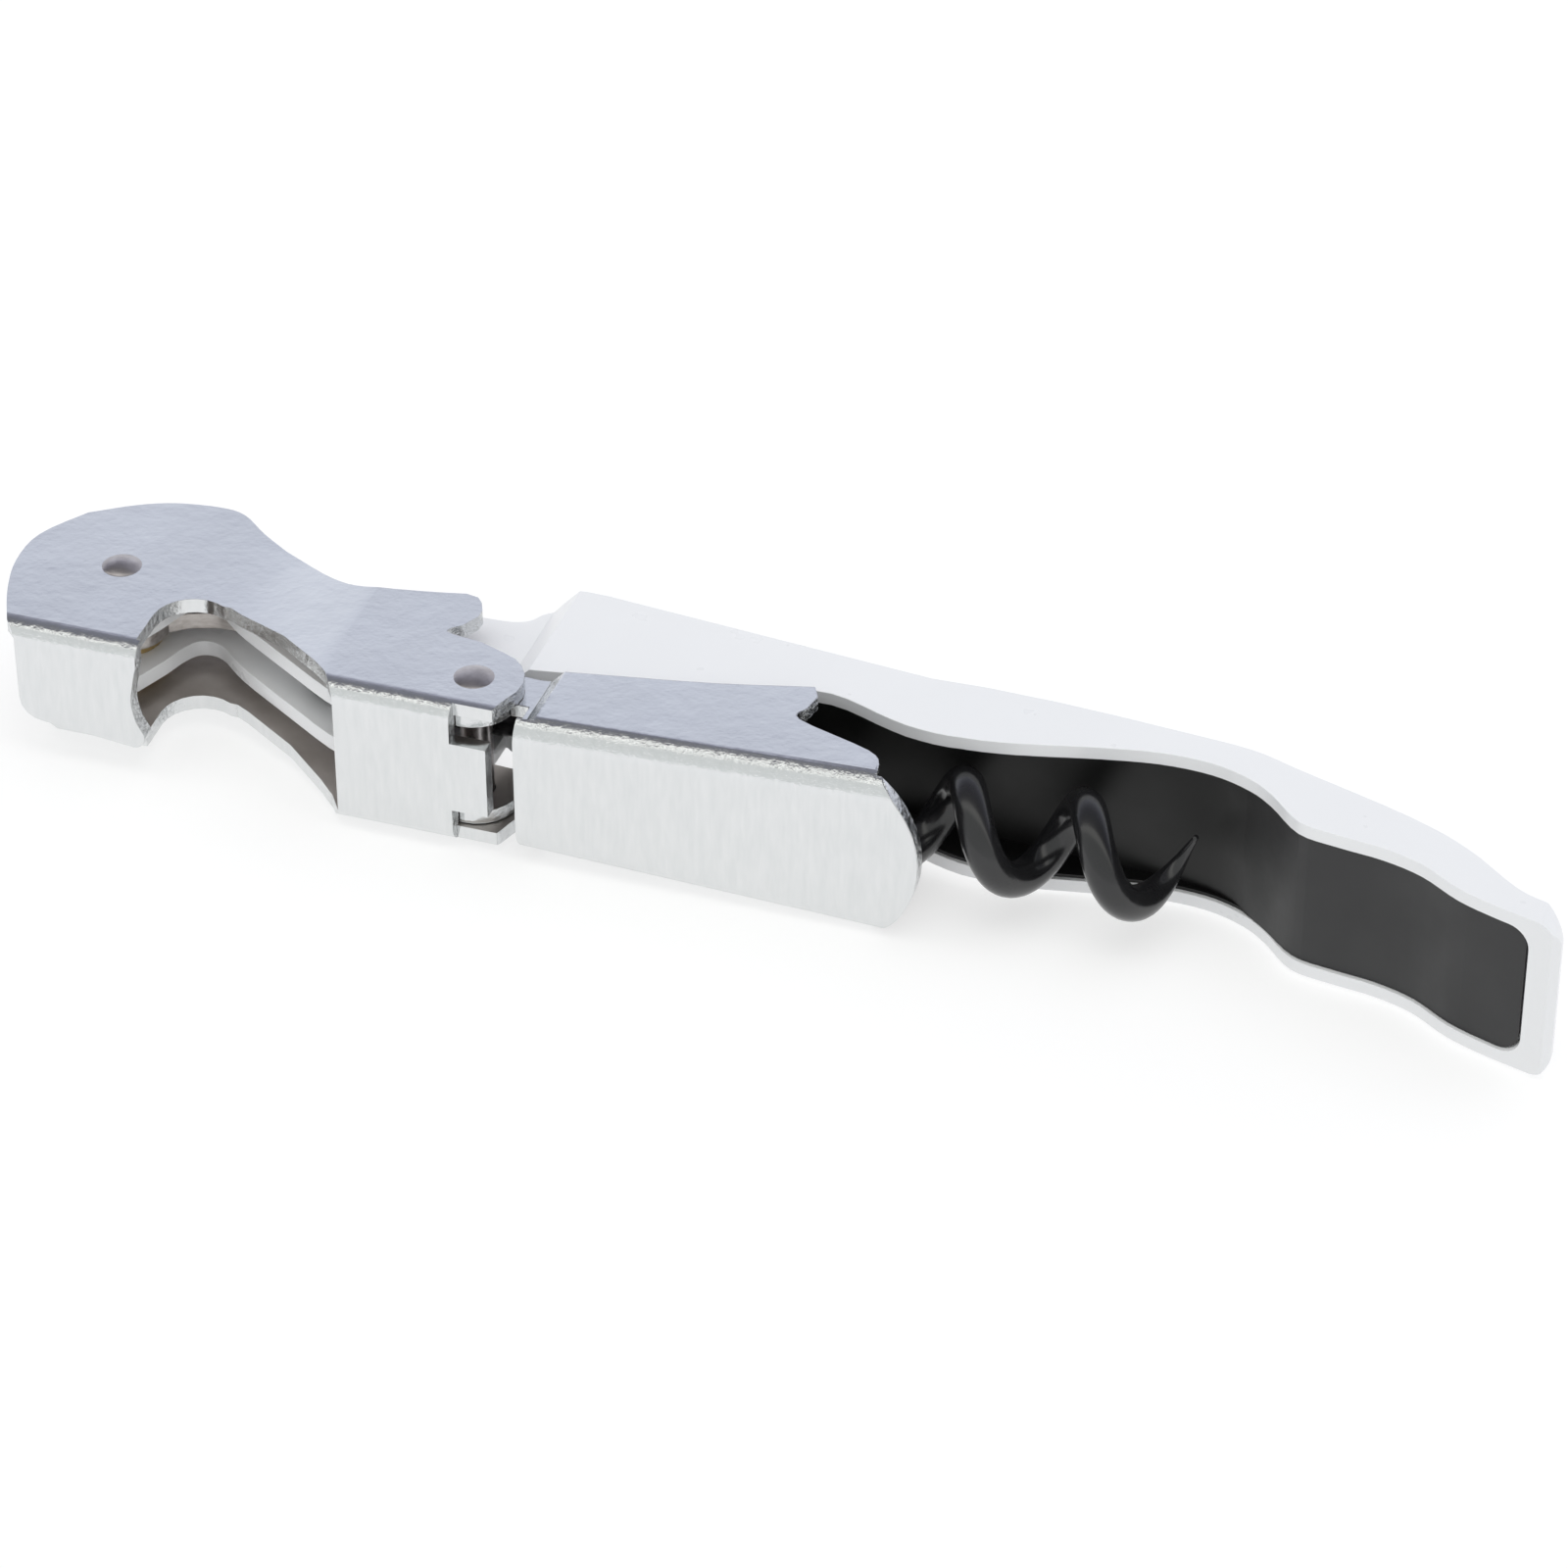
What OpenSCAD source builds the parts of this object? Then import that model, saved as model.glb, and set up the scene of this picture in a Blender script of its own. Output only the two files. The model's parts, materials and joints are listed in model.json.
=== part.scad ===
// Lever corkscrew with a two-step lever, lying closed on its side.
// X runs from the head to the tail, +Y to the back of the handle, +Z up.
// Shapes are drawn about the hinge rivet (x = 0) and the middle plane (z = 0), and moved as one at the end.

/* [Overall] */
// Length over the closed corkscrew
overall_l = 120.8; // [100:0.2:146]
// Thickness over the two plates of the handle
handle_t = 13.1; // [12.6:0.1:15.8]
// Extra width of the second lever at its free end
flare_w = 1.9; // [1.5:0.1:2.6]

/* [Sheet metal] */
// Thickness of the handle's painted sheet
shell_s = 1.05; // [0.8:0.05:1.3]
// Thickness of the first lever's sheet
lever_s = 1.2; // [0.9:0.05:1.5]
// Thickness of the second lever's sheet
second_s = 1.15; // [0.9:0.05:1.4]
// Outer bend radius of the first lever
lever_bend_r = 1.5; // [1.2:0.1:2]
// Outer bend radius of the second lever
second_bend_r = 2; // [1.5:0.1:2.4]

/* [Neck] */
// Thickness over the two plates of the neck
neck_t = 5.5; // [4.8:0.1:6]
// Gap between the two plates of the neck
neck_gap = 2.9; // [2.6:0.1:3.2]

/* [Worm] */
// Diameter of the worm's wire
wire_d = 2.7; // [1.9:0.05:2.75]
// Diameter over the worm's turns
worm_d = 8.9; // [7.4:0.1:9]
// Length of one turn
worm_pitch = 9; // [7.4:0.1:10.8]

/* [Pins] */
// Diameter of the head rivet
head_pin_d = 2.5; // [2:0.1:3.2]
// Diameter of the head rivet's heads
head_cap_d = 3.1; // [2.9:0.1:4]
// Diameter of the hinge rivet
hinge_pin_d = 2.4; // [2:0.1:3]
// Diameter of the hinge rivet's heads
hinge_cap_d = 3.1; // [2.9:0.1:4]
// Diameter of the pin that carries the worm
worm_pin_d = 2.5; // [2:0.1:2.6]
// Radial running clearance of every pin
pin_fit = 0.05; // [0.02:0.01:0.1]
// Gap left between flat parts that slide past each other
slide_gap = 0.06; // [0.03:0.01:0.1]

/* [Knife] */
// Thickness of the blade
blade_t = 1.4; // [1:0.1:1.7]
// Number of serrations on the blade
teeth = 14; // [8:1:20]

/* [Hidden] */
$fn = 64;
tiny = 0.01;

// Ends of the closed corkscrew, and the scale that turns them into the overall length
head_x = -39;
tail_x = 81.8;
back_y = 21;
front_y = -1.4;
size_k = overall_l / (tail_x - head_x);

// Half widths of the bent sheets, measured to their outer faces
lever_h = 6.16;
lever_head_h = 5;
ear_h = lever_h - lever_s - slide_gap;
second_h = lever_h - 0.26;
second_end_h = second_h + flare_w / 2;
flare_x = 5.5;
flare_len = 26;
neck_h = neck_t / 2;
neck_in = neck_gap / 2;
grip_h = handle_t / 2;
grip_start_h = 4.6;
rest_h = max(second_end_h, grip_h);

// Pivot places
head_p = [-31.1, 11.3];
hinge_p = [0, 4.35];
worm_p = [-12.4, 10.8];
worm_axis_y = 5.95;
ear_r = hinge_p[1] - lever_s - slide_gap;

// Curve through hand-set points, with a few straight steps in each span
steps = 4;
function blend(a, b, c, d, t) =
    0.5 * (2 * b + (c - a) * t + (2 * a - 5 * b + 4 * c - d) * t * t + (3 * b - a - 3 * c + d) * t * t * t);
function curve(p) = [
    for (i = [0 : len(p) - 2])
        for (j = [0 : steps - 1])
            blend(p[max(i - 1, 0)], p[i], p[i + 1], p[min(i + 2, len(p) - 1)], j / steps),
    p[len(p) - 1]
];
function arc(c, r, a, b, n = 8) = [for (i = [0 : n]) c + r * [cos(a + (b - a) * i / n), sin(a + (b - a) * i / n)]];
function shifted(p, d) = [for (q = p) q + d];
function reversed(p) = [for (i = [len(p) - 1 : -1 : 0]) p[i]];
function all_but_last(p) = [for (i = [0 : len(p) - 2]) p[i]];

// Moves the whole object to its place: centred in plan, resting on z = 0
module placed() {
    scale(size_k)
        translate([-(head_x + tail_x) / 2, -(front_y + back_y) / 2, rest_h])
            children();
}

// Upright prism of a plan outline
module tall(z0, z1) {
    translate([0, 0, z0])
        linear_extrude(z1 - z0)
            children();
}

// Prism along Y of an outline drawn in X and Z
module across(points, y0 = -10, y1 = 30) {
    translate([0, y1, 0])
        rotate([90, 0, 0])
            linear_extrude(y1 - y0)
                polygon(points);
}

// Sheet that follows a side profile, given by its outer and inner lines
module sheet(outer, inner) {
    across(concat(outer, reversed(inner)));
}

module both_sides() {
    children();
    mirror([0, 0, 1])
        children();
}

module at(p) {
    translate([p[0], p[1], 0])
        children();
}

module pin(d, half) {
    translate([0, 0, -half])
        cylinder(d = d, h = 2 * half);
}

// Low dome for a rivet head, standing on z = 0
module dome(d, h) {
    r = (d * d / 4 + h * h) / (2 * h);
    intersection() {
        translate([0, 0, h - r])
            sphere(r);
        cylinder(d = d, h = h);
    }
}

// Removes the square corner outside a bend of radius r that runs along X at y = front, z = half
module bend_cut(x0, x1, front, half, r) {
    translate([x0, front, half])
        rotate([90, 0, 90])
            linear_extrude(x1 - x0)
                difference() {
                    translate([-1, -r])
                        square(r + 1);
                    translate([r, -r])
                        circle(r);
                }
}

/* ---- handle ---- */

// Half widths over the grip, from under the second lever to the tail
second_gap = 0.12;
grip_mid_x = 25;
grip_mid = [[grip_mid_x, second_h + flare_w / 2 * (grip_mid_x - flare_x) / flare_len - second_s - second_gap],
            [flare_x + flare_len, second_end_h - second_s - second_gap], [36, grip_h - 0.4], [41, grip_h - 0.1],
            [46, grip_h]];
ramp_x = 0.8;
ramp_end = ramp_x + grip_start_h - neck_h;
ramp_set = 0.5;
shell_outer = concat([[-45, neck_h], [ramp_x, neck_h], [ramp_end, grip_start_h]], grip_mid, [[90, grip_h]]);
shell_inner = concat([[-45, neck_in], [ramp_x + ramp_set, neck_in], [ramp_end + ramp_set, grip_start_h - shell_s]],
                     shifted(grip_mid, [0, -shell_s]), [[90, grip_h - shell_s]]);

// Front edge of the neck, from the head to the ear, and of the grip, from the ear to the tail
neck_front = concat(curve([[-28.2, 6.4], [-27.1, 9.1], [-26.4, 11.2], [-25.5, 12.4], [-23.8, 12.3], [-21.1, 10.1],
                           [-16, 6.8], [-10.6, 3.6], [-7, 3.4], [-2, 3.4]]), [[0.6, 3.6], [0.7, 8.3]]);
grip_hidden = [[3, 8.6], [8, 9.2], [14, 9.8], [20, 11]];
grip_shown = [[25, 11.6], [30.3, 9.6], [35, 8.3], [40, 8.4], [45, 9.4], [50, 10.3], [54, 10.2], [57, 9.2],
              [59, 7.8], [61.6, 5.3], [64.6, 4.6], [68, 4.1], [71, 3.1], [74, 1.2], [77, 0], [80, -0.9]];
tail_end = [[81.2, -1.4], [81.8, -0.8], [81.8, -0.2]];
grip_spine = [[77.8, 2.6], [73.5, 6], [68.8, 8.4], [60.2, 11.4], [56, 12.8], [49, 13.5], [36, 14.8], [24, 16.6],
              [12, 18.3]];
grip_back = curve(concat([[80.2, 1.6]], grip_spine, [[3.2, 19.5], [0.4, 18.4], [-0.8, 16.9], [-4, 16.4],
                                                     [-16, 16.6], [-28, 17]]));
hollow_end = 79.5;
hollow_r = 1.6;
seat_play = 0.8;
head_end = arc(head_p, 5.8, 80, 290, 12);

module handle_plan() {
    polygon(concat(neck_front, curve(concat(grip_hidden, grip_shown)), tail_end, grip_back, head_end));
}

// Region inside the handle's back and tail walls, where the shell is hollow
module handle_hollow() {
    polygon(concat([[-45, -20], [hollow_end, -20], [hollow_end, 0.2], [78.4, 1]],
                   shifted(curve(grip_spine), [-0.5, -shell_s]), [[11.4, 30], [-45, 30]]));
}

// Side outline that ends at x = end with its two corners rounded to r, half apart from the middle
module tail_round(end, half, r) {
    across(concat([[-50, 20], [-50, -20], [end - 12, -20], [end - 12, -half]],
                  arc([end - r, -half + r], r, -90, 0), arc([end - r, half - r], r, 0, 90),
                  [[end - 12, half], [end - 12, 20]]));
}

module handle_shell() {
    seat_d = hinge_pin_d + seat_play;
    color("#efeff1")
        placed()
            difference() {
                intersection() {
                    union() {
                        both_sides()
                            intersection() {
                                sheet(shell_outer, shell_inner);
                                tall(0, 10)
                                    handle_plan();
                            }
                        intersection() {
                            across(concat(shell_outer, reversed([for (q = shell_outer) [q[0], -q[1]]])));
                            tall(-10, 10)
                                handle_plan();
                            difference() {
                                across([[-50, -12], [90, -12], [90, 12], [-50, 12]]);
                                intersection() {
                                    tall(-11, 11)
                                        handle_hollow();
                                    tail_round(hollow_end, grip_h - shell_s, hollow_r);
                                }
                            }
                        }
                    }
                    tail_round(tail_x, grip_h, 1.8);
                }
                at(head_p)
                    pin(head_pin_d + 2 * tiny, 10);
                at(worm_p)
                    pin(worm_pin_d + 2 * tiny, 10);
                // open scallop that seats the hinge rivet while the lever is shut
                at(hinge_p)
                    pin(seat_d, 10);
                translate([hinge_p[0], hinge_p[1], -10])
                    rotate([0, 0, -103])
                        translate([0, -seat_d / 2, 0])
                            cube([8, seat_d, 20]);
            }
}

// Moulded liner: a filler behind the worm, which becomes the tail's panel, and a thin flange along each plate
liner_end = 79.3;
liner_front = concat([[3.6, 11]], curve([[9, 11.4], [18, 11.8], [30, 11.8], [42, 11.8], [50, 11.5], [55, 10.6],
                     [58.6, 8.2], [61.6, 5.6], [64.6, 4.9], [68, 4.4], [71, 3.4], [74, 1.5], [77, 0.3],
                     [liner_end, -0.4]]));
liner_gap = 0.05;
flange_s = 0.25;
liner_back = concat([[liner_end, 0.2], [liner_end - 1.1, 0.9]],
                    shifted(curve(grip_spine), [-0.6, -shell_s - liner_gap]));

module handle_liner() {
    outer = [for (q = shell_inner) [q[0], q[1] - liner_gap]];
    color("#2c2c2d")
        placed()
            intersection() {
                union() {
                    intersection() {
                        across(concat(outer, reversed([for (q = outer) [q[0], -q[1]]])));
                        tall(-10, 10)
                            polygon(concat(liner_front, liner_back, [[11.2, 13.6], [3.6, 13.4]]));
                    }
                    both_sides()
                        intersection() {
                            sheet(outer, [for (q = outer) [q[0], q[1] - flange_s]]);
                            tall(0, 10)
                                polygon(concat(shifted(all_but_last(curve(grip_shown)), [0, 0.3]), liner_back,
                                               [[24, 12]]));
                        }
                }
                tail_round(liner_end, grip_h - shell_s - liner_gap, hollow_r);
            }
}

module head_rivet() {
    color("#aca6a7")
        placed()
            at(head_p) {
                pin(head_pin_d, lever_head_h + tiny);
                both_sides()
                    translate([0, 0, lever_head_h])
                        dome(head_cap_d, 0.5);
            }
}

module worm_pin() {
    color("#b8b8ba")
        placed()
            at(worm_p) {
                pin(worm_pin_d, neck_h + tiny);
                both_sides()
                    translate([0, 0, neck_h])
                        dome(worm_pin_d + 1.2, 0.5);
            }
}

/* ---- first lever ---- */

lever_outer = [[-45, lever_head_h], [-20, lever_head_h], [-11, lever_h], [8, lever_h]];
lever_inner = [for (q = lever_outer) [q[0], q[1] - lever_s]];
lever_web = [-9.5, 2.4];
tab_x = [-35.6, -25.8];
tab_y = 1.4;

// Back edge and nose of both lever plates, from the head round to the web's right end
lever_back = concat(reversed(curve([[-4.4, 14.3], [-7.6, 13.6], [-12, 13], [-15, 13.8], [-19.2, 16.4], [-22.5, 18.6],
                                    [-25, 20.6], [-27.2, 21], [-30.6, 20.5], [-33.4, 19.3], [-36.5, 17.2]])),
                    [[-3.4, 14.1], [-2.9, 13.5], [-2.5, 12.6], [-2.5, 11.7]],
                    curve([[-3.2, 10.3], [-4, 9.2], [-1.1, 8.7]]),
                    arc(hinge_p, 3.7, 75, -30, 6),
                    [[lever_web[1] + 0.4, 1.2], [lever_web[1], 0], [lever_web[0], 0]]);
lever_notch = concat([[-10.6, 1.6], [-12, 2.9], [-15.6, 5.7], [-21.1, 8.6]], arc([-23.2, 6], 3, 60, 180, 8));

module upper_lever_plan() {
    polygon(concat(lever_back, lever_notch, [[-26.1, 2.6], [tab_x[1], tab_y], [tab_x[0], tab_y]],
                   all_but_last(curve([[-36.4, 2.2], [-38, 5.8], [-39, 9.5], [-38.8, 13.3], [-36.5, 17.2]]))));
}

module lower_lever_plan() {
    polygon(concat(lever_back, lever_notch, [[-26.1, 3], [-33.5, 3]],
                   all_but_last(curve([[-35.2, 4], [-36.6, 6.4], [-37.5, 9.5], [-37.5, 13], [-36.5, 17.2]]))));
}

module first_lever() {
    tab_low = -4.1;
    tongue_h = 3;
    window_x = -0.4;
    nose_y = 0.9;
    color("#c9ccd6")
        placed()
            difference() {
                union() {
                    intersection() {
                        sheet(lever_outer, lever_inner);
                        tall(0, 10)
                            upper_lever_plan();
                    }
                    mirror([0, 0, 1])
                        intersection() {
                            sheet(lever_outer, lever_inner);
                            tall(0, 10)
                                lower_lever_plan();
                        }
                    translate([lever_web[0], 0, -lever_h])
                        cube([lever_web[1] - lever_web[0], lever_s, 2 * lever_h]);
                    // front tab, bent down from the upper plate only, hooked at its inner corner
                    translate([0, tab_y + lever_s, 0])
                        rotate([90, 0, 0])
                            linear_extrude(lever_s)
                                polygon(concat([[tab_x[0], lever_head_h]],
                                               arc([tab_x[0] + 1.8, -1.5], 1.8, 180, 270, 4),
                                               arc([tab_x[1] - 0.7, tab_low + 1], 1, 270, 380, 6),
                                               curve([[tab_x[1] - 0.3, -1.8], [tab_x[1] - 0.6, 0], [tab_x[1] - 0.2, 2.4],
                                                      [tab_x[1], 3.2]]),
                                               [[tab_x[1], lever_head_h]]));
                }
                at(head_p)
                    pin(head_pin_d + 2 * pin_fit, 10);
                at(hinge_p)
                    pin(hinge_pin_d + tiny, 10);
                both_sides()
                    bend_cut(lever_web[0] - 2, lever_web[1] + 2, 0, lever_h, lever_bend_r);
                bend_cut(tab_x[0] - 2, tab_x[1] + 2, tab_y, lever_head_h, lever_bend_r);
                // windows that let the second lever's ears turn, cut right through the bend
                both_sides() {
                    translate([window_x, -1, tongue_h])
                        cube([6, 1 + lever_s + tiny, lever_h - lever_s - tongue_h]);
                    translate([window_x, -1, tongue_h])
                        cube([6, 1 + nose_y, 6]);
                }
            }
}

module hinge_rivet() {
    color("#b5afb0")
        placed()
            at(hinge_p) {
                pin(hinge_pin_d, lever_h + tiny);
                both_sides()
                    translate([0, 0, lever_h])
                        dome(hinge_cap_d, 0.35);
            }
}

/* ---- second lever ---- */

flare_a = atan((second_end_h - second_h) / flare_len);
second_x = 4.5;
ear_x = 4.95;
second_outer = [[-5, ear_h], [ear_x, ear_h], [ear_x + second_h - ear_h, second_h],
                [flare_x + flare_len, second_end_h], [44, second_end_h]];
second_inner = [[-5, ear_h - second_s], [ear_x + 0.5, ear_h - second_s],
                [ear_x + 0.5 + second_h - ear_h, second_h - second_s],
                [flare_x + flare_len, second_end_h - second_s], [44, second_end_h - second_s]];

module second_plan() {
    polygon(concat([[second_x, 0], [second_x, 3.7]], arc(hinge_p, ear_r, -12, -270, 16),
                   curve([[4, 7.2], [10.6, 8], [17.4, 9], [24.2, 10.4]]),
                   curve([[24.8, 9.2], [24.5, 7.6], [24.4, 6.2], [30.4, 3.8], [31.6, 2.4]]),
                   [[32, 0]]));
}

module second_web() {
    end_r = 8.8;
    side = [[second_x, second_h], [flare_x + flare_len, second_end_h], [40, second_end_h]];
    intersection() {
        across(concat(side, reversed([for (q = side) [q[0], -q[1]]])), 0, second_s);
        union() {
            translate([second_x, 0, -10])
                cube([22, 3, 20]);
            translate([35.3 - end_r, -1, 0])
                rotate([-90, 0, 0])
                    cylinder(r = end_r, h = 4);
        }
    }
}

module second_lever() {
    color("#c9ccd6")
        placed()
            difference() {
                union() {
                    both_sides()
                        intersection() {
                            sheet(second_outer, second_inner);
                            tall(0, 10)
                                second_plan();
                        }
                    second_web();
                }
                at(hinge_p)
                    pin(hinge_pin_d + 2 * pin_fit, 10);
                both_sides()
                    translate([second_x, 0, second_h])
                        rotate([0, -flare_a, 0])
                            bend_cut(-2, 34, 0, 0, second_bend_r);
            }
}

/* ---- worm ---- */

wire_r = wire_d / 2;
helix_r = worm_d / 2 - wire_r;
tip_turn = 15 / 360;
turns = 5 + tip_turn;
sides = 12;
per_turn = 20;
bore_r = worm_pin_d / 2 + pin_fit;
eye_r = bore_r + wire_r - 0.12;
shank_y = worm_p[1] - eye_r;
helix_x = 53.4 - worm_pitch * turns;

// Centre of the wire at turn count t: an open eye from -2 to -1, the straight shank up to 0,
// and then the helix, which it joins over the first half turn
function smooth(t) = t * t * (3 - 2 * t);
function lead(t) = smooth(min(max(t / 0.5, 0), 1));
function helix_at(t) = [helix_x + worm_pitch * t, worm_axis_y + helix_r * cos(360 * t), helix_r * sin(360 * t)];
function shank_at(t) = [worm_p[0] + (helix_x - worm_p[0]) * (1 + t), shank_y, 0];
function eye_at(t) = concat(worm_p + eye_r * [cos(270 + 265 * (1 + t)), sin(270 + 265 * (1 + t))], 0);
function wire_at(t) = t < -1 ? eye_at(t)
    : t < 0 ? shank_at(t)
    : helix_at(t) * lead(t) + [helix_x + worm_pitch * t, shank_y, 0] * (1 - lead(t));
function taper(t) = wire_r * (0.12 + 0.88 * smooth(min((turns - t) / 0.42 + 0.1, 1)));
function unit(v) = v / norm(v);

wire_t = concat([for (i = [0 : 17]) -2 + i / 18], [-1, -0.5], [for (i = [0 : 5 * per_turn]) i / per_turn], [turns]);

function ring(t) =
    let (d = unit(wire_at(t + 0.01) - wire_at(t - 0.01)),
         n = unit(cross(d, [0, 0.1, 1])),
         b = cross(d, n))
    [for (k = [0 : sides - 1])
        wire_at(t) + taper(t) * (cos(360 * k / sides) * n + sin(360 * k / sides) * b)];

module wire() {
    count = len(wire_t);
    points = [for (t = wire_t) each ring(t)];
    walls = [for (i = [0 : count - 2])
                for (k = [0 : sides - 1])
                    each [[i * sides + k, (i + 1) * sides + k, i * sides + (k + 1) % sides],
                          [i * sides + (k + 1) % sides, (i + 1) * sides + k, (i + 1) * sides + (k + 1) % sides]]];
    start = [for (k = [0 : sides - 1]) k];
    end = [for (k = [sides - 1 : -1 : 0]) (count - 1) * sides + k];
    polyhedron(points, concat(walls, [start, end]));
}

module worm() {
    color("#1b1b1c")
        placed()
            difference() {
                wire();
                at(worm_p)
                    pin(2 * bore_r, 3);
            }
}

/* ---- knife and washers ---- */

blade_tip = [8.6, 15.8];
blade_heel = [-16, 15];
blade_rise = (blade_tip[1] - blade_heel[1]) / (blade_tip[0] - blade_heel[0]);

module knife_plan() {
    polygon(concat(arc(head_p, 3.3, 200, 365, 12), curve([[-26.6, 12.6], [-24.6, 13.3], [-22.5, 13.5],
                   [-19, 14.7], blade_heel]),
                   [blade_tip],
                   curve([[8, 16.6], [4, 17.8], [-4, 18.5], [-14, 18.4], [-24, 17.6], [-30, 15.2], [-33.4, 13.6]])));
}

module knife_blade() {
    tooth = 1.6;
    first_tooth = 1.5;
    tooth_out = 0.35;
    color("#a89c94")
        placed()
            difference() {
                tall(-blade_t / 2, blade_t / 2)
                    knife_plan();
                at(head_p)
                    pin(head_pin_d + 2 * pin_fit, 3);
                at(blade_heel)
                    for (i = [0 : teeth - 1])
                        translate([first_tooth + i * tooth, (first_tooth + i * tooth) * blade_rise - tooth_out, -2])
                            cylinder(d = tooth * 0.8, h = 4);
            }
}

// Washer round the head rivet, between heights a and b
module head_washer(a, b) {
    placed()
        at(head_p)
            translate([0, 0, a])
                difference() {
                    cylinder(d = head_pin_d + 3, h = b - a);
                    translate([0, 0, -1])
                        cylinder(d = head_pin_d + 2 * pin_fit, h = b - a + 2);
                }
}

module upper_lever_washer() {
    color("#d8c58a")
        head_washer(neck_h, lever_head_h - lever_s - slide_gap);
}

module lower_lever_washer() {
    color("#d8c58a")
        head_washer(-lever_head_h + lever_s + slide_gap, -neck_h);
}

module upper_knife_washer() {
    color("#d8c58a")
        head_washer(blade_t / 2 + slide_gap, neck_in);
}

module lower_knife_washer() {
    color("#d8c58a")
        head_washer(-neck_in, -blade_t / 2 - slide_gap);
}

handle_shell();
handle_liner();
head_rivet();
worm_pin();
first_lever();
hinge_rivet();
second_lever();
worm();
knife_blade();
upper_lever_washer();
lower_lever_washer();
upper_knife_washer();
lower_knife_washer();
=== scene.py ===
import bpy, bmesh, json, math
import numpy as np
from mathutils import Matrix, Vector


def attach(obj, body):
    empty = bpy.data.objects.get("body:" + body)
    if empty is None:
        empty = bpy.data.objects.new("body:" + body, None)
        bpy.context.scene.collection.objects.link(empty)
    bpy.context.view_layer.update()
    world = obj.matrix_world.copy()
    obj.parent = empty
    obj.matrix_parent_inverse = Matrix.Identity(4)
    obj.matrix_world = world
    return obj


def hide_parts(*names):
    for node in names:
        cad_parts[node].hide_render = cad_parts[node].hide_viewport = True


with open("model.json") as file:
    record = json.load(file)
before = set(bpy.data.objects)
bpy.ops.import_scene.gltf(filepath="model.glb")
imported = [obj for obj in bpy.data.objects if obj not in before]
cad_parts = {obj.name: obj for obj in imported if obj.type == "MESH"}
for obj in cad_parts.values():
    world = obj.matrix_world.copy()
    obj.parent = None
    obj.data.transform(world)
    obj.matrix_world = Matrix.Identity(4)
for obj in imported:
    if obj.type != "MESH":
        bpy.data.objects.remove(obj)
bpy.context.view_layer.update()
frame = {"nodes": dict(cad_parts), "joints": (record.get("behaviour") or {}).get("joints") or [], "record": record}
nodes = frame["nodes"]
print("frame loaded:", len(nodes), "nodes")

mm = 0.001
joints = {j["name"]: j for j in frame["joints"]}
hingePivot = Vector(joints["lever_hinge"]["pos_m"])
wormPivot = Vector(joints["worm_pivot"]["pos_m"])
midZ = hingePivot.z


# ---- materials: each one is a short chain of nodes on Object coordinates

def newMaterial(name, color, metallic, roughness, **inputs):
    mat = bpy.data.materials.new(name)
    mat.use_nodes = True
    shader = mat.node_tree.nodes["Principled BSDF"]
    shader.inputs["Base Color"].default_value = (*color, 1)
    shader.inputs["Metallic"].default_value = metallic
    shader.inputs["Roughness"].default_value = roughness
    for socket, value in inputs.items():
        shader.inputs[socket.replace("_", " ")].default_value = value
    return mat, mat.node_tree, shader


def objectCoords(tree, scale=(1, 1, 1)):
    coords = tree.nodes.new("ShaderNodeTexCoord")
    mapping = tree.nodes.new("ShaderNodeMapping")
    mapping.inputs["Scale"].default_value = scale
    tree.links.new(coords.outputs["Object"], mapping.inputs["Vector"])
    return mapping.outputs["Vector"]


def noise(tree, vector, scale, detail=3, rough=0.5):
    tex = tree.nodes.new("ShaderNodeTexNoise")
    tex.inputs["Scale"].default_value = scale
    tex.inputs["Detail"].default_value = detail
    tex.inputs["Roughness"].default_value = rough
    tree.links.new(vector, tex.inputs["Vector"])
    return tex.outputs["Fac"]


def ramp(tree, factor, stops):
    node = tree.nodes.new("ShaderNodeValToRGB")
    for i, (pos, color) in enumerate(stops):
        stop = node.color_ramp.elements[i] if i < 2 else node.color_ramp.elements.new(pos)
        stop.position = pos
        stop.color = (*color, 1) if len(color) == 3 else color
    tree.links.new(factor, node.inputs["Fac"])
    return node.outputs["Color"]


def remap(tree, factor, toLow, toHigh, fromLow=0.3, fromHigh=0.7):
    node = tree.nodes.new("ShaderNodeMapRange")
    for socket, value in zip(("From Min", "From Max", "To Min", "To Max"), (fromLow, fromHigh, toLow, toHigh)):
        node.inputs[socket].default_value = value
    tree.links.new(factor, node.inputs["Value"])
    return node.outputs["Result"]


def bump(tree, shader, height, strength, distance, under=None):
    node = tree.nodes.new("ShaderNodeBump")
    node.inputs["Strength"].default_value = strength
    node.inputs["Distance"].default_value = distance
    tree.links.new(height, node.inputs["Height"])
    if under is not None:
        tree.links.new(under, node.inputs["Normal"])
    tree.links.new(node.outputs["Normal"], shader.inputs["Normal"])
    return node.outputs["Normal"]


def math2(tree, operation, a, b=0.0):
    node = tree.nodes.new("ShaderNodeMath")
    node.operation = operation
    for socket, value in zip(node.inputs, (a, b)):
        if isinstance(value, (int, float)):
            socket.default_value = value
        else:
            tree.links.new(value, socket)
    return node.outputs["Value"]


def mix(tree, factor, a, b):
    node = tree.nodes.new("ShaderNodeMix")
    node.data_type = "RGBA"
    for socket, value in zip([s for s in node.inputs if s.enabled], (factor, a, b)):
        tree.links.new(value, socket)
    return next(s for s in node.outputs if s.enabled)


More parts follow.
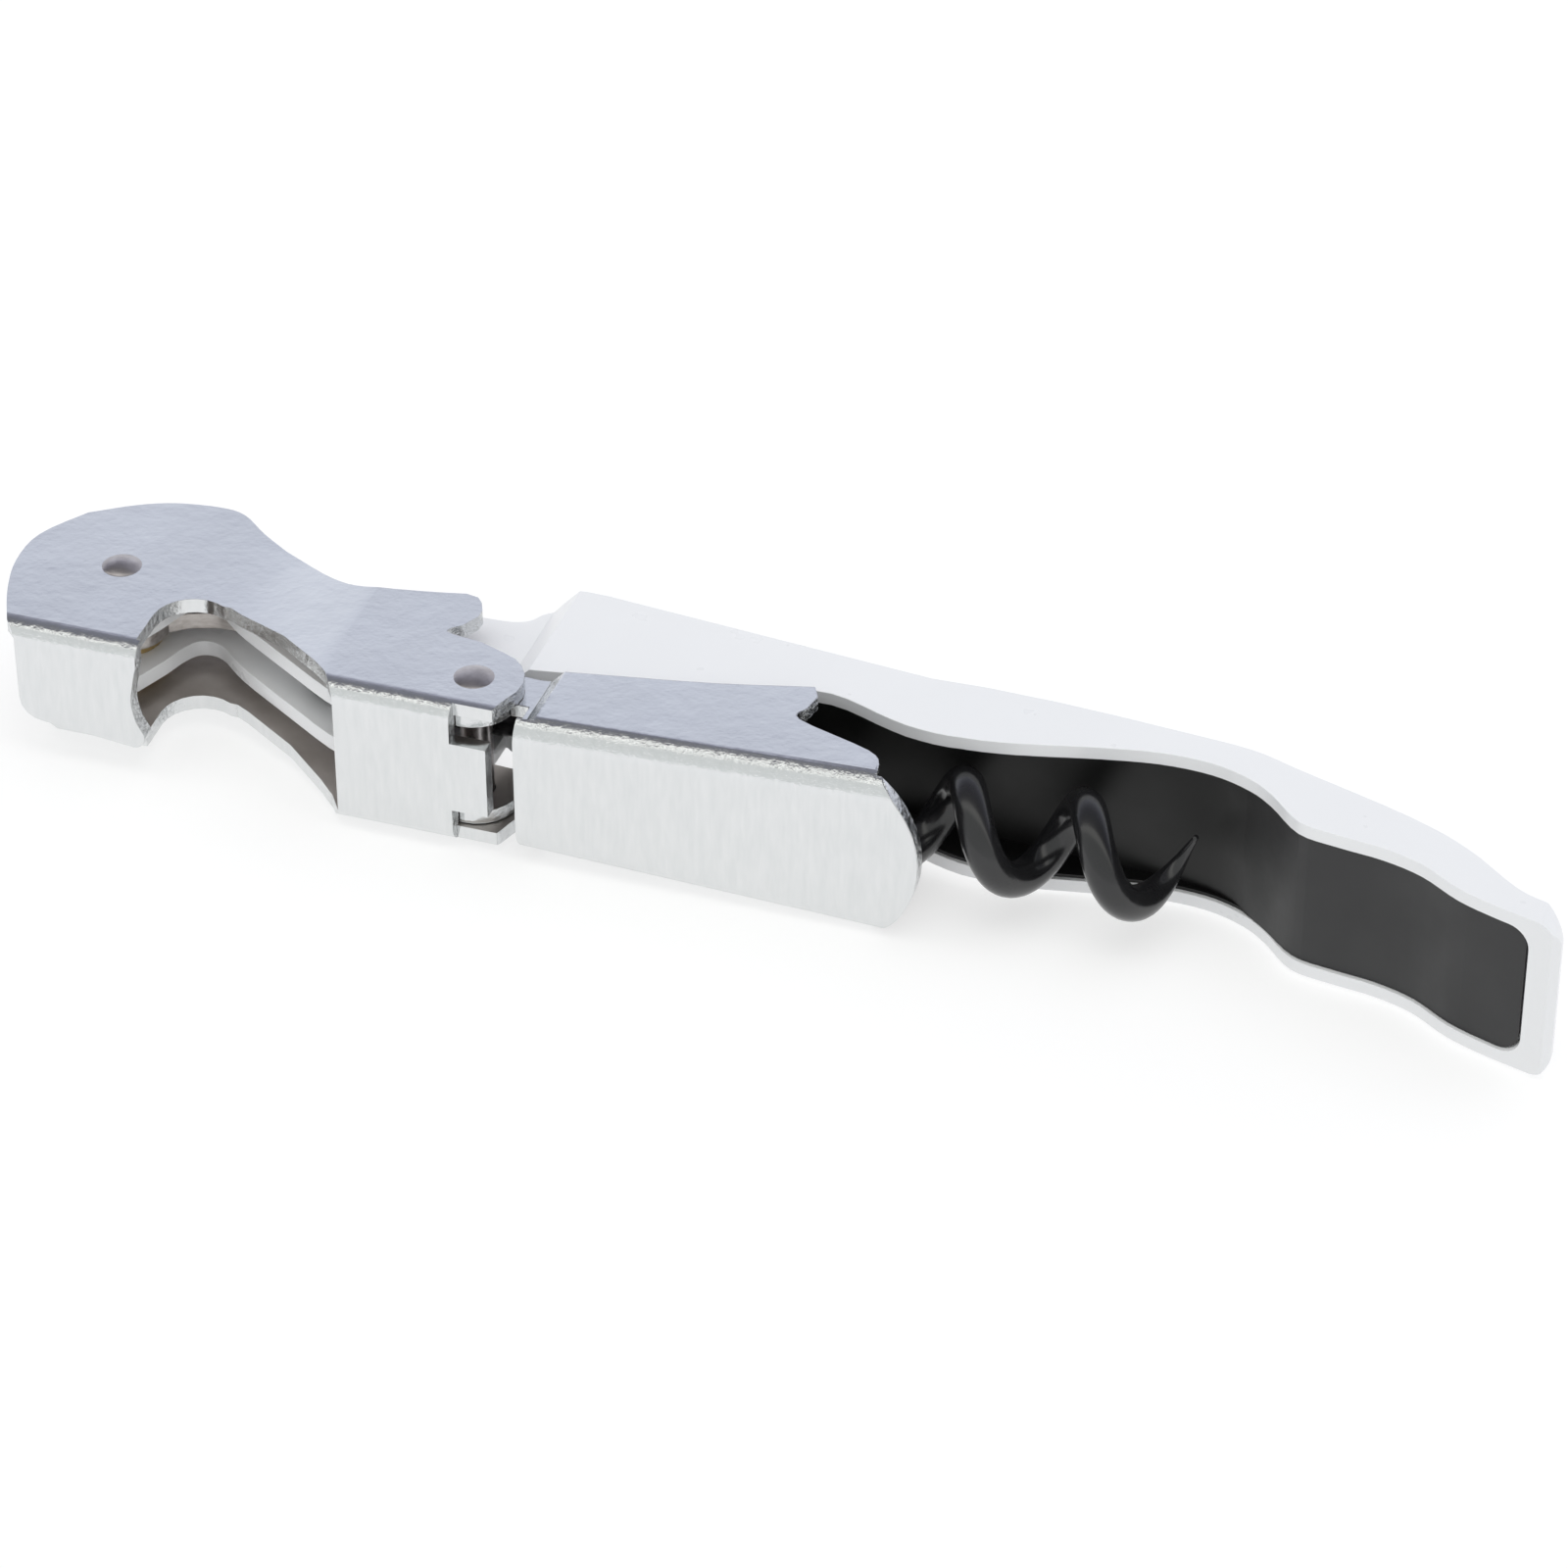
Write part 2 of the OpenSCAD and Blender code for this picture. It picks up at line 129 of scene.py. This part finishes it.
def placeAndFacing(tree):
    coords = tree.nodes.new("ShaderNodeTexCoord")
    place = tree.nodes.new("ShaderNodeSeparateXYZ")
    facing = tree.nodes.new("ShaderNodeSeparateXYZ")
    tree.links.new(coords.outputs["Object"], place.inputs["Vector"])
    tree.links.new(coords.outputs["Normal"], facing.inputs["Vector"])
    return place.outputs, facing.outputs


def constant(tree, color):
    node = tree.nodes.new("ShaderNodeRGB")
    node.outputs["Color"].default_value = (*color, 1)
    return node.outputs["Color"]


def whitePaint():
    mat, tree, shader = newMaterial("satinWhitePaint", (0.87, 0.875, 0.885), 0, 0.3,
                                    Coat_Weight=0.35, Coat_Roughness=0.12)
    spot = objectCoords(tree)
    facing = placeAndFacing(tree)[1]
    grain = noise(tree, spot, 2600, 2)
    tone = ramp(tree, noise(tree, spot, 60, 3), [(0.3, (0.865, 0.87, 0.88)), (0.7, (0.885, 0.89, 0.9))])
    # painted shade: faces that look to the front, cut edges included, are painted a darker grey
    edge = remap(tree, facing["Y"], 1, 0, -0.8, -0.2)
    tree.links.new(mix(tree, edge, tone, constant(tree, (0.80, 0.805, 0.82))), shader.inputs["Base Color"])
    tree.links.new(remap(tree, noise(tree, spot, 300, 3), 0.27, 0.33), shader.inputs["Roughness"])
    bump(tree, shader, grain, 0.06, 0.00002)
    return mat


def blackLiner():
    mat, tree, shader = newMaterial("blackLiner", (0.02, 0.02, 0.021), 0, 0.42, Specular_IOR_Level=0.45)
    spot = objectCoords(tree)
    tree.links.new(remap(tree, noise(tree, spot, 220, 4), 0.36, 0.5), shader.inputs["Roughness"])
    moulded = ramp(tree, noise(tree, spot, 90, 3), [(0.3, (0.018, 0.018, 0.019)), (0.7, (0.028, 0.028, 0.029))])
    # painted shade: the liner is painted near black where it lies further back in the channel, and keeps its moulded
    # tone towards the front
    recessShade = remap(tree, placeAndFacing(tree)[0]["Y"], 0, 1, -4 * mm, 1 * mm)
    tree.links.new(mix(tree, recessShade, moulded, constant(tree, (0.003, 0.003, 0.003))), shader.inputs["Base Color"])
    bump(tree, shader, noise(tree, spot, 1800, 3), 0.15, 0.00003)
    return mat


# Mask of a bent sheet's inside: faces of its plates that look at the middle plane, and the back of its front web
def insideOfSheet(tree, place, facing):
    side = math2(tree, "SIGN", math2(tree, "SUBTRACT", place["Z"], midZ))
    plates = math2(tree, "LESS_THAN", math2(tree, "MULTIPLY", side, facing["Z"]), -0.5)
    behind = math2(tree, "GREATER_THAN", facing["Y"], 0.6)
    front = math2(tree, "LESS_THAN", place["Y"], hingePivot.y - 0.5 * mm)
    return math2(tree, "MAXIMUM", plates, math2(tree, "MULTIPLY", behind, front))


# Mask of bends and cut edges: 0 on the plates and the front web, more the further the surface turns from both
def turnedAway(tree, facing):
    y = math2(tree, "ABSOLUTE", facing["Y"])
    z = math2(tree, "ABSOLUTE", facing["Z"])
    return math2(tree, "SUBTRACT", 1.0, math2(tree, "MAXIMUM", y, z))


def chrome(name, ripple):
    mat, tree, shader = newMaterial(name, (0.74, 0.755, 0.77), 1, 0.12)
    spot = objectCoords(tree)
    place, facing = placeAndFacing(tree)
    inside = insideOfSheet(tree, place, facing)
    turned = turnedAway(tree, facing)
    drawn = noise(tree, objectCoords(tree, (1, 1, 0.2)), 1900, 3, 0.6)
    polished = ramp(tree, noise(tree, spot, 70, 4), [(0.3, (0.71, 0.725, 0.735)), (0.7, (0.77, 0.785, 0.79))])
    streaked = ramp(tree, drawn, [(0.3, (0.715, 0.73, 0.735)), (0.7, (0.76, 0.77, 0.775))])
    outside = mix(tree, math2(tree, "ABSOLUTE", facing["Y"]), polished, streaked)
    # inner faces of the sheet: rougher as an unpolished inside, and painted a darker brown as painted shade inside the
    # channel
    unpolishedAndShaded = ramp(tree, noise(tree, spot, 300, 4), [(0.3, (0.50, 0.46, 0.43)), (0.7, (0.64, 0.60, 0.57))])
    tree.links.new(mix(tree, inside, outside, unpolishedAndShaded), shader.inputs["Base Color"])
    smooth = remap(tree, noise(tree, spot, 160, 3), 0.1, 0.2)
    tree.links.new(math2(tree, "ADD", smooth, math2(tree, "MULTIPLY", inside, 0.35)), shader.inputs["Roughness"])
    speckle = math2(tree, "MULTIPLY", noise(tree, spot, 1500, 4, 0.65),
                    math2(tree, "ADD", math2(tree, "MULTIPLY", turned, 4.0), 0.1))
    first = bump(tree, shader, noise(tree, spot, 480, 3, 0.55), ripple, 0.0001)
    second = bump(tree, shader, drawn, 0.12, 0.00003, first)
    bump(tree, shader, speckle, 0.9, 0.00014, second)
    return mat


def rivetSteel():
    mat, tree, shader = newMaterial("rivetSteel", (0.62, 0.59, 0.59), 1, 0.3)
    spot = objectCoords(tree)
    tree.links.new(ramp(tree, noise(tree, spot, 900, 4), [(0.3, (0.36, 0.335, 0.335)), (0.7, (0.56, 0.53, 0.53))]),
                   shader.inputs["Base Color"])
    tree.links.new(remap(tree, noise(tree, spot, 500, 3), 0.24, 0.42), shader.inputs["Roughness"])
    bump(tree, shader, noise(tree, spot, 1500, 4), 0.35, 0.00005)
    return mat


def blackWorm():
    mat, tree, shader = newMaterial("blackWormCoating", (0.010, 0.010, 0.011), 0, 0.22,
                                    Coat_Weight=0.3, Coat_Roughness=0.15)
    spot = objectCoords(tree)
    tree.links.new(remap(tree, noise(tree, spot, 350, 3), 0.18, 0.3), shader.inputs["Roughness"])
    coating = ramp(tree, noise(tree, spot, 200, 3), [(0.3, (0.008, 0.008, 0.009)), (0.7, (0.015, 0.015, 0.016))])
    tree.links.new(coating, shader.inputs["Base Color"])
    bump(tree, shader, noise(tree, spot, 900, 3), 0.12, 0.00005)
    return mat


def bladeSteel():
    mat, tree, shader = newMaterial("bladeSteel", (0.55, 0.52, 0.5), 1, 0.34)
    spot = objectCoords(tree, (0.15, 1, 1))
    streak = noise(tree, spot, 3000, 3)
    ground = ramp(tree, streak, [(0.3, (0.42, 0.39, 0.37)), (0.7, (0.62, 0.59, 0.57))])
    tree.links.new(ground, shader.inputs["Base Color"])
    tree.links.new(remap(tree, streak, 0.28, 0.45), shader.inputs["Roughness"])
    bump(tree, shader, streak, 0.25, 0.00004)
    return mat


def washerBrass():
    mat, tree, shader = newMaterial("washerBrass", (0.62, 0.46, 0.22), 1, 0.32)
    spot = objectCoords(tree)
    tree.links.new(ramp(tree, noise(tree, spot, 700, 3), [(0.3, (0.5, 0.37, 0.17)), (0.7, (0.7, 0.54, 0.28))]),
                   shader.inputs["Base Color"])
    tree.links.new(remap(tree, noise(tree, spot, 900, 3), 0.25, 0.45), shader.inputs["Roughness"])
    bump(tree, shader, noise(tree, spot, 1600, 3), 0.2, 0.00003)
    return mat


materials = {
    "white_paint": whitePaint(),
    "black_liner": blackLiner(),
    "chrome_lever": chrome("chromeLever", 0.38),
    "rivet_steel": rivetSteel(),
    "black_worm": blackWorm(),
    "blade_steel": bladeSteel(),
    "washer_brass": washerBrass(),
}
slotOf = {s["node"]: s["material_slot"] for s in frame["record"]["subparts"]}
bodyOf = {n: b for b, names in frame["record"]["behaviour"]["bodies"].items() for n in names}
print("materials made:", len(materials))


# ---- pieces

weld = 0.004 * mm  # corners closer than this are one corner


def finishPiece(piece, node, material):
    piece.data.materials.clear()
    piece.data.materials.append(material)
    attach(piece, bodyOf[node])
    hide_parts(node)
    return piece


# Copy of a node's solid with its doubles merged and flat faces joined, and its edges rolled over
def softened(node, name, edge, angle):
    mesh = nodes[node].data.copy()
    mesh.name = name
    work = bmesh.new()
    work.from_mesh(mesh)
    bmesh.ops.remove_doubles(work, verts=work.verts, dist=weld)
    bmesh.ops.dissolve_degenerate(work, edges=work.edges, dist=weld)
    bmesh.ops.dissolve_limit(work, angle_limit=math.radians(1.0), verts=work.verts, edges=work.edges)
    bmesh.ops.recalc_face_normals(work, faces=work.faces)
    work.to_mesh(mesh)
    work.free()
    piece = bpy.data.objects.new(name, mesh)
    bpy.context.scene.collection.objects.link(piece)
    bevel = piece.modifiers.new("rolledEdges", "BEVEL")
    bevel.width = edge
    bevel.segments = 3
    bevel.limit_method = "ANGLE"
    bevel.angle_limit = math.radians(angle)
    mesh.shade_smooth()
    even = piece.modifiers.new("evenNormals", "WEIGHTED_NORMAL")
    even.mode = "FACE_AREA"
    even.weight = 100
    return finishPiece(piece, node, materials[slotOf[node]])


# node: name of its visible piece, width of its rolled edges in millimetres, least angle of an edge that is rolled
sheetEdge = 28
pinEdge = 40
pieceTable = {
    "handle_shell": ("paintedShell", 0.35, sheetEdge),
    "handle_liner": ("mouldedLiner", 0.3, sheetEdge),
    "first_lever": ("chromeFirstLever", 0.22, sheetEdge),
    "second_lever": ("chromeSecondLever", 0.22, sheetEdge),
    "knife_blade": ("stampedBlade", 0.12, sheetEdge),
    "upper_lever_washer": ("upperLeverWasher", 0.08, sheetEdge),
    "lower_lever_washer": ("lowerLeverWasher", 0.08, sheetEdge),
    "upper_knife_washer": ("upperKnifeWasher", 0.08, sheetEdge),
    "lower_knife_washer": ("lowerKnifeWasher", 0.08, sheetEdge),
    "head_rivet": ("headRivet", 0.08, pinEdge),
    "hinge_rivet": ("hingeRivet", 0.08, pinEdge),
    "worm_pin": ("wormPin", 0.08, pinEdge),
}
pieces = [softened(node, name, edge * mm, angle) for node, (name, edge, angle) in pieceTable.items()]
print("pieces softened:", len(pieces))

# wormShape: the wire's path in millimetres, counted in turns of the helix
wormShape = {"wire": 2.7, "over": 8.9, "pitch": 9.0, "turns": 5 + 15 / 360, "axisDrop": 4.85, "tip": 65.8,
             "eyeSweep": 265, "pinRadius": 1.25, "fit": 0.05, "squeeze": 0.12, "leadTurns": 0.5, "tipTurns": 0.42,
             "tipShare": 0.12, "around": 28, "alongTurn": 48}


def smoothStep(t):
    t = np.clip(t, 0, 1)
    return t * t * (3 - 2 * t)


# Centre line: an arc round the pin, a straight shank, and a helix that the shank joins over half a turn
def wormPath(w):
    helixStart = w["tip"] - w["pitch"] * w["turns"]
    wireR = w["wire"] / 2
    helixR = w["over"] / 2 - wireR
    eyeR = w["pinRadius"] + w["fit"] + wireR - w["squeeze"]
    eye = np.linspace(0, 1, 40)
    angle = np.radians(270 - w["eyeSweep"] * (1 - eye))
    eyeLine = np.stack([eyeR * np.cos(angle), eyeR * np.sin(angle), 0 * angle], 1)
    shank = np.linspace(0, 1, 12)[1:-1]
    shankLine = np.stack([helixStart * shank, 0 * shank - eyeR, 0 * shank], 1)
    t = np.linspace(0, w["turns"], int(w["turns"] * w["alongTurn"]))
    lead = smoothStep(t / w["leadTurns"])[:, None]
    turn = 2 * np.pi * t
    helix = np.stack([helixStart + w["pitch"] * t, helixR * np.cos(turn) - w["axisDrop"], helixR * np.sin(turn)], 1)
    straight = np.stack([helixStart + w["pitch"] * t, 0 * t - eyeR, 0 * t], 1)
    path = np.concatenate([eyeLine, shankLine, helix * lead + straight * (1 - lead)])
    # thickness is whole up to the last half turn, and runs out to a fine point there
    full = smoothStep((w["turns"] - t) / w["tipTurns"] + 0.1)
    taper = w["tipShare"] + (1 - w["tipShare"]) * full
    return path, wireR * np.concatenate([np.ones(len(eyeLine) + len(shankLine)), taper])


# Tube: a circle of the given radius carried along the path, square to it, with a pole at each end
def tubeMesh(name, path, radius, around):
    along = np.gradient(path, axis=0)
    along /= np.linalg.norm(along, axis=1)[:, None]
    side = np.cross(along, np.array([0.0, 0.05, 1.0]))
    side /= np.linalg.norm(side, axis=1)[:, None]
    up = np.cross(along, side)
    phi = np.linspace(0, 2 * np.pi, around, endpoint=False)
    rings = path[:, None] + radius[:, None, None] * (np.cos(phi)[None, :, None] * side[:, None]
                                                     + np.sin(phi)[None, :, None] * up[:, None])
    count = len(path)
    verts = np.concatenate([rings.reshape(-1, 3), path[:1], path[-1:]])
    i, k = np.meshgrid(np.arange(count - 1), np.arange(around), indexing="ij")
    nextK = (k + 1) % around
    quads = np.stack([i * around + k, i * around + nextK, (i + 1) * around + nextK, (i + 1) * around + k], -1)
    ring = np.arange(around)
    startPole = np.stack([np.full(around, count * around), (ring + 1) % around, ring], 1)
    last = (count - 1) * around
    endPole = np.stack([np.full(around, count * around + 1), last + ring, last + (ring + 1) % around], 1)
    mesh = bpy.data.meshes.new(name)
    mesh.from_pydata(verts.tolist(), [], quads.reshape(-1, 4).tolist() + startPole.tolist() + endPole.tolist())
    mesh.shade_smooth()
    return mesh


def makeWorm():
    path, radius = wormPath(wormShape)
    path = path * mm + np.array(wormPivot)
    piece = bpy.data.objects.new("blackWorm", tubeMesh("blackWorm", path, radius * mm, wormShape["around"]))
    bpy.context.scene.collection.objects.link(piece)
    return finishPiece(piece, "worm", materials["black_worm"])


worm = makeWorm()
print("worm made:", len(worm.data.vertices), "vertices")


# ---- floor, lights and camera

def makeFloor():
    mesh = bpy.data.meshes.new("floor")
    half = 6.0
    mesh.from_pydata([(-half, -half, 0), (half, -half, 0), (half, half, 0), (-half, half, 0)], [], [(0, 1, 2, 3)])
    floor = bpy.data.objects.new("floor", mesh)
    bpy.context.scene.collection.objects.link(floor)
    mat = newMaterial("paleFloor", (0.42, 0.42, 0.42), 0, 0.9,
                      Emission_Color=(1, 1, 1, 1), Emission_Strength=0.62)[0]
    mesh.materials.append(mat)


def areaLight(name, place, target, size, watts):
    data = bpy.data.lights.new(name, "AREA")
    data.shape = "RECTANGLE"
    data.size, data.size_y = size
    data.energy = watts
    lamp = bpy.data.objects.new(name, data)
    bpy.context.scene.collection.objects.link(lamp)
    lamp.location = place
    lamp.visible_glossy = False
    lamp.rotation_euler = (Vector(target) - Vector(place)).to_track_quat("-Z", "Y").to_euler()


# Light tent seen by the chrome: grey behind, a dark gap overhead, a bright strip and a pale front
def makeWorld():
    world = bpy.data.worlds.new("lightTent")
    bpy.context.scene.world = world
    world.use_nodes = True
    tree = world.node_tree
    coords = tree.nodes.new("ShaderNodeTexCoord")
    split = tree.nodes.new("ShaderNodeSeparateXYZ")
    tree.links.new(coords.outputs["Generated"], split.inputs["Vector"])
    angle = tree.nodes.new("ShaderNodeMath")
    angle.operation = "ARCTAN2"
    tree.links.new(split.outputs["Z"], angle.inputs[0])
    tree.links.new(split.outputs["Y"], angle.inputs[1])
    tent = [(0.0, (0.92, 0.94, 1.0)), (0.14, (0.88, 0.91, 1.0)), (0.20, (0.72, 0.75, 0.86)), (0.26, (0.42, 0.43, 0.52)),
            (0.32, (0.26, 0.265, 0.32)), (0.40, (0.20, 0.205, 0.24)), (0.49, (0.22, 0.22, 0.235)),
            (0.53, (0.34, 0.34, 0.34)), (0.56, (1.5, 1.5, 1.45)), (0.62, (1.4, 1.4, 1.35)),
            (0.66, (0.75, 0.77, 0.76)), (1.0, (0.83, 0.85, 0.845))]
    color = ramp(tree, remap(tree, angle.outputs["Value"], 0, 1, 0, math.pi), tent)
    tree.links.new(color, tree.nodes["Background"].inputs["Color"])
    tree.nodes["Background"].inputs["Strength"].default_value = 1.0


def makeCamera():
    shot = {"place": (108.57, -320.92, 249.88), "target": (1.86, -3.847, 7.543), "lens": 130.67, "roll": -0.19}
    data = bpy.data.cameras.new("camera")
    data.sensor_width = 36
    data.lens = shot["lens"]
    data.clip_start = 0.01
    data.clip_end = 50
    camera = bpy.data.objects.new("camera", data)
    bpy.context.scene.collection.objects.link(camera)
    place = Vector(shot["place"]) * mm
    look = (Vector(shot["target"]) * mm - place).to_track_quat("-Z", "Y")
    roll = Matrix.Rotation(math.radians(shot["roll"]), 4, "Z")
    camera.matrix_world = Matrix.Translation(place) @ look.to_matrix().to_4x4() @ roll
    bpy.context.scene.camera = camera


makeFloor()
makeWorld()
makeCamera()
areaLight("topSoftbox", (0.05, 0.1, 0.8), (0, 0, 0), (1.0, 1.0), 3.0)
bpy.context.scene.view_settings.view_transform = "Standard"
print("stage made")
